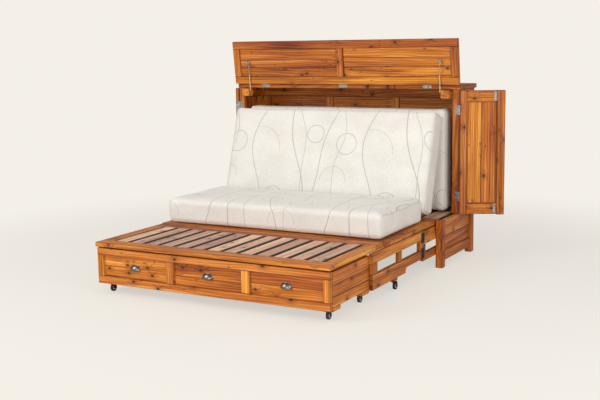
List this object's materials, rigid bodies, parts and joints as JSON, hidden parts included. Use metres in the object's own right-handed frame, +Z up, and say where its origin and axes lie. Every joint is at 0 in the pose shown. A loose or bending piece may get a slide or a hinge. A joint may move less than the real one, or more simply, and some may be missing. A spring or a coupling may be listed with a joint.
{
  "type": "cabinet bed",
  "caption": "Wooden cabinet bed with panelled case, flip lid, folding wings, slatted folding decks, cushioned pads and a wide drawer on casters.",
  "frame": {"origin": "floor under the middle rear foot of the case, on its centre line", "axes": "+X to the case's right as seen from the front, +Y to the back, +Z up; the drawer comes out toward -Y"},
  "size_m": [2.0365, 2.0009, 1.4184],
  "materials": {
    "oiled_wood": "satin",
    "panel_wood": "satin",
    "inner_wood": "satin",
    "chrome": "polished",
    "black_steel": "satin",
    "steel": "brushed",
    "pewter": "antique",
    "caster_rubber": "matte",
    "ticking": "woven"
  },
  "bodies": {
    "cabinet": {"base_posts": "oiled_wood", "base_sides": "oiled_wood", "base_back_panel": "panel_wood", "rear_deck_planks": "inner_wood", "upper_mid_posts": "oiled_wood", "upper_side_frames": "oiled_wood", "upper_side_panels": "panel_wood", "back_frame": "oiled_wood", "back_panels": "panel_wood", "fixed_top": "oiled_wood", "stay_blocks": "oiled_wood", "cabinet_hinges": "chrome", "pivot_pins": "steel"},
    "lid": {"lid_frame": "oiled_wood", "lid_panels": "panel_wood", "lid_hardware": "chrome"},
    "stay_tube_left": {"stay_barrel_left": "black_steel"},
    "stay_ram_left": {"stay_rod_left": "chrome"},
    "wing_left": {"wing_door_left": "oiled_wood", "wing_post_left": "oiled_wood", "wing_hinge_leaves_left": "chrome"},
    "stay_tube_right": {"stay_barrel_right": "black_steel"},
    "stay_ram_right": {"stay_rod_right": "chrome"},
    "wing_right": {"wing_door_right": "oiled_wood", "wing_post_right": "oiled_wood", "wing_hinge_leaves_right": "chrome"},
    "drawer": {"drawer_front_frame": "oiled_wood", "drawer_front_panels": "panel_wood", "drawer_pulls": "pewter", "drawer_box": "oiled_wood", "drawer_caster_blocks": "oiled_wood"},
    "deck_mid": {"deck_mid_frame": "oiled_wood", "deck_mid_slats": "inner_wood", "deck_hinge_mid_leaves": "black_steel", "mattress_seat": "ticking"},
    "deck_front": {"deck_front_frame": "oiled_wood", "deck_front_slats": "inner_wood", "deck_hinge_front_leaves": "black_steel"},
    "pad_rear": {"mattress_rear": "ticking"},
    "pad_back": {"mattress_back": "ticking"},
    "side_rear_left": {"side_frame_rear_left": "oiled_wood", "knee_hinge_rear_left": "black_steel"},
    "side_front_left": {"side_frame_front_left": "oiled_wood", "knee_hinge_front_left": "black_steel"},
    "side_rear_right": {"side_frame_rear_right": "oiled_wood", "knee_hinge_rear_right": "black_steel"},
    "side_front_right": {"side_frame_front_right": "oiled_wood", "knee_hinge_front_right": "black_steel"},
    "fork_front_left": {"caster_fork_front_left": "black_steel"},
    "wheel_front_left": {"caster_wheel_front_left": "caster_rubber"},
    "fork_front_right": {"caster_fork_front_right": "black_steel"},
    "wheel_front_right": {"caster_wheel_front_right": "caster_rubber"},
    "fork_rear_left": {"caster_fork_rear_left": "black_steel"},
    "wheel_rear_left": {"caster_wheel_rear_left": "caster_rubber"},
    "fork_rear_right": {"caster_fork_rear_right": "black_steel"},
    "wheel_rear_right": {"caster_wheel_rear_right": "caster_rubber"},
    "fork_frame_left": {"caster_fork_frame_left": "black_steel"},
    "wheel_frame_left": {"caster_wheel_frame_left": "caster_rubber"},
    "fork_frame_right": {"caster_fork_frame_right": "black_steel"},
    "wheel_frame_right": {"caster_wheel_frame_right": "caster_rubber"}
  },
  "joints": [
    {"name": "lid_hinge", "type": "hinge", "parent": "cabinet", "child": "lid", "pos_m": [0, -0.283, 1.1275], "axis": [1, 0, 0], "range_deg": [0, 83]},
    {"name": "stay_pivot_left", "type": "hinge", "parent": "cabinet", "child": "stay_tube_left", "pos_m": [-0.703, -0.32, 1.084], "axis": [1, 0, 0], "range_deg": [-0.05, 81.69]},
    {"name": "stay_slide_left", "type": "slide", "parent": "stay_tube_left", "child": "stay_ram_left", "axis": [0, 0.1059, -0.9944], "range_m": [0, 0.0758]},
    {"name": "wing_hinge_left", "type": "hinge", "parent": "cabinet", "child": "wing_left", "pos_m": [-0.8205, -0.2845, 0.7], "axis": [0, 0, 1], "range_deg": [0, 165]},
    {"name": "stay_pivot_right", "type": "hinge", "parent": "cabinet", "child": "stay_tube_right", "pos_m": [0.703, -0.32, 1.084], "axis": [1, 0, 0], "range_deg": [-0.05, 81.69]},
    {"name": "stay_slide_right", "type": "slide", "parent": "stay_tube_right", "child": "stay_ram_right", "axis": [0, 0.1059, -0.9944], "range_m": [0, 0.0758]},
    {"name": "wing_hinge_right", "type": "hinge", "parent": "cabinet", "child": "wing_right", "pos_m": [0.8205, -0.2845, 0.7], "axis": [0, 0, -1], "range_deg": [0, 115]},
    {"name": "drawer_slide", "type": "slide", "parent": "cabinet", "child": "drawer", "axis": [0, 1, 0], "range_m": [0, 1.401]},
    {"name": "deck_fold", "type": "hinge", "parent": "cabinet", "child": "deck_mid", "pos_m": [0, -0.52, 0.287], "axis": [-1, 0, 0], "range_deg": [0, 90]},
    {"name": "deck_front_fold", "type": "hinge", "parent": "deck_mid", "child": "deck_front", "pos_m": [0, -1.318, 0.2715], "axis": [1, 0, 0], "range_deg": [-0.02, 180.02]},
    {"name": "pad_rear_slide", "type": "slide", "parent": "cabinet", "child": "pad_rear", "axis": [0, 1, 0], "range_m": [-0.0001, 0.1201]},
    {"name": "pad_back_tilt", "type": "hinge", "parent": "pad_rear", "child": "pad_back", "pos_m": [0, -0.42, 0.949], "axis": [1, 0, 0], "range_deg": [-0.01, 18.01]},
    {"name": "side_rear_fold_left", "type": "hinge", "parent": "cabinet", "child": "side_rear_left", "pos_m": [-0.7595, -0.04, 0.17], "axis": [0, 0, 1], "range_deg": [0, 90]},
    {"name": "side_front_fold_left", "type": "hinge", "parent": "side_rear_left", "child": "side_front_left", "pos_m": [-0.7715, -0.773, 0.17], "axis": [0, 0, -1], "range_deg": [-0.02, 180.02]},
    {"name": "side_rear_fold_right", "type": "hinge", "parent": "cabinet", "child": "side_rear_right", "pos_m": [0.7595, -0.04, 0.17], "axis": [0, 0, -1], "range_deg": [0, 90]},
    {"name": "side_front_fold_right", "type": "hinge", "parent": "side_rear_right", "child": "side_front_right", "pos_m": [0.7715, -0.773, 0.17], "axis": [0, 0, 1], "range_deg": [-0.02, 180.02]},
    {"name": "caster_swivel_front_left", "type": "hinge", "parent": "drawer", "child": "fork_front_left", "pos_m": [-0.7, -1.91, 0.05], "axis": [0, 0, 1], "continuous": true},
    {"name": "caster_spin_front_left", "type": "hinge", "parent": "fork_front_left", "child": "wheel_front_left", "pos_m": [-0.7, -1.894, 0.022], "axis": [1, 0, 0], "continuous": true},
    {"name": "caster_swivel_front_right", "type": "hinge", "parent": "drawer", "child": "fork_front_right", "pos_m": [0.7, -1.91, 0.05], "axis": [0, 0, 1], "continuous": true},
    {"name": "caster_spin_front_right", "type": "hinge", "parent": "fork_front_right", "child": "wheel_front_right", "pos_m": [0.7, -1.894, 0.022], "axis": [1, 0, 0], "continuous": true},
    {"name": "caster_swivel_rear_left", "type": "hinge", "parent": "drawer", "child": "fork_rear_left", "pos_m": [-0.7, -1.538, 0.05], "axis": [0, 0, 1], "continuous": true},
    {"name": "caster_spin_rear_left", "type": "hinge", "parent": "fork_rear_left", "child": "wheel_rear_left", "pos_m": [-0.7, -1.522, 0.022], "axis": [1, 0, 0], "continuous": true},
    {"name": "caster_swivel_rear_right", "type": "hinge", "parent": "drawer", "child": "fork_rear_right", "pos_m": [0.7, -1.538, 0.05], "axis": [0, 0, 1], "continuous": true},
    {"name": "caster_spin_rear_right", "type": "hinge", "parent": "fork_rear_right", "child": "wheel_rear_right", "pos_m": [0.7, -1.522, 0.022], "axis": [1, 0, 0], "continuous": true},
    {"name": "caster_swivel_frame_left", "type": "hinge", "parent": "side_front_left", "child": "fork_frame_left", "pos_m": [-0.7595, -1.19, 0.05], "axis": [0, 0, 1], "continuous": true},
    {"name": "caster_spin_frame_left", "type": "hinge", "parent": "fork_frame_left", "child": "wheel_frame_left", "pos_m": [-0.7595, -1.174, 0.022], "axis": [1, 0, 0], "continuous": true},
    {"name": "caster_swivel_frame_right", "type": "hinge", "parent": "side_front_right", "child": "fork_frame_right", "pos_m": [0.7595, -1.19, 0.05], "axis": [0, 0, 1], "continuous": true},
    {"name": "caster_spin_frame_right", "type": "hinge", "parent": "fork_frame_right", "child": "wheel_frame_right", "pos_m": [0.7595, -1.174, 0.022], "axis": [1, 0, 0], "continuous": true}
  ],
  "couplings": [
    {"joint": "stay_pivot_left", "follows": "lid_hinge", "ratio": 0.98359},
    {"joint": "stay_slide_left", "follows": "lid_hinge", "m_per_rad": 0.052188},
    {"joint": "stay_pivot_right", "follows": "lid_hinge", "ratio": 0.98359},
    {"joint": "stay_slide_right", "follows": "lid_hinge", "m_per_rad": 0.052188},
    {"joint": "deck_front_fold", "follows": "deck_fold", "ratio": 2},
    {"joint": "pad_rear_slide", "follows": "deck_fold", "m_per_rad": 0.076394},
    {"joint": "pad_back_tilt", "follows": "deck_fold", "ratio": 0.2},
    {"joint": "side_front_fold_left", "follows": "side_rear_fold_left", "ratio": 2},
    {"joint": "side_front_fold_right", "follows": "side_rear_fold_right", "ratio": 2}
  ]
}
